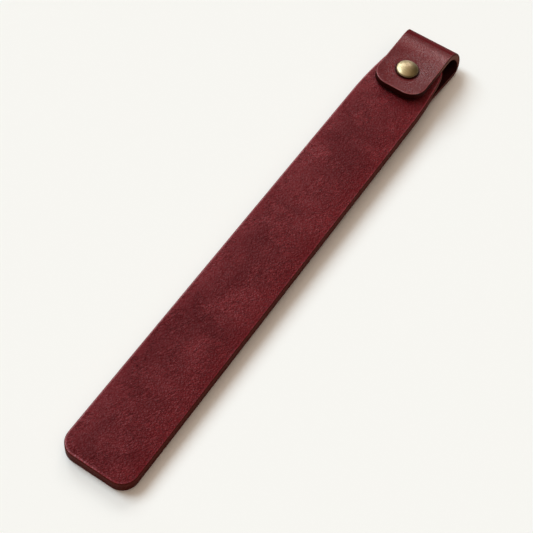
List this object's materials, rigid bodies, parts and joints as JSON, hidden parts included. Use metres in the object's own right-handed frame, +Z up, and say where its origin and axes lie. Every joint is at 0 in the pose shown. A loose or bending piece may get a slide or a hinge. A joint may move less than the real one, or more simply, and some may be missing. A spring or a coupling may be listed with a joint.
{
  "type": "leather bookmark with snap loop",
  "caption": "Long slim leather bookmark strip with rounded corners and, at one end, a folded leather loop whose flap opens on a domed brass press stud",
  "frame": {"origin": "centre of the strip's flat back, on its underside", "axes": "+Y runs along the strip towards the loop, +X across the strip to the right of its face, +Z up out of the face"},
  "size_m": [0.025, 0.206, 0.0136],
  "materials": {
    "face_leather": "waxed, fine grain, mottled",
    "strap_leather": "smooth, satin",
    "antique_brass": "antiqued, satin",
    "plain_brass": "drawn, satin",
    "spring_steel": "drawn wire"
  },
  "bodies": {
    "strip": {"face_leather": "face_leather", "back_leather": "strap_leather", "loop_heel": "strap_leather", "snap_stud": "plain_brass", "stud_post": "plain_brass"},
    "fold": {"loop_crown": "strap_leather"},
    "flap": {"loop_flap": "strap_leather", "snap_cap": "antique_brass", "cap_barrel": "plain_brass", "snap_socket": "plain_brass", "snap_spring": "spring_steel"}
  },
  "joints": [
    {"name": "fold_bend", "type": "hinge", "parent": "strip", "child": "fold", "pos_m": [0, 0.1131, -0.00033], "axis": [-1, 0, 0], "range_deg": [0, 54], "deforming": ["loop_heel"]},
    {"name": "flap_swing", "type": "hinge", "parent": "fold", "child": "flap", "pos_m": [0, 0.11013, 0.0063], "axis": [-1, 0, 0], "range_deg": [0, 36], "deforming": ["loop_crown", "snap_spring"]}
  ],
  "couplings": [
    {"joint": "fold_bend", "follows": "flap_swing", "ratio": 1.5}
  ]
}
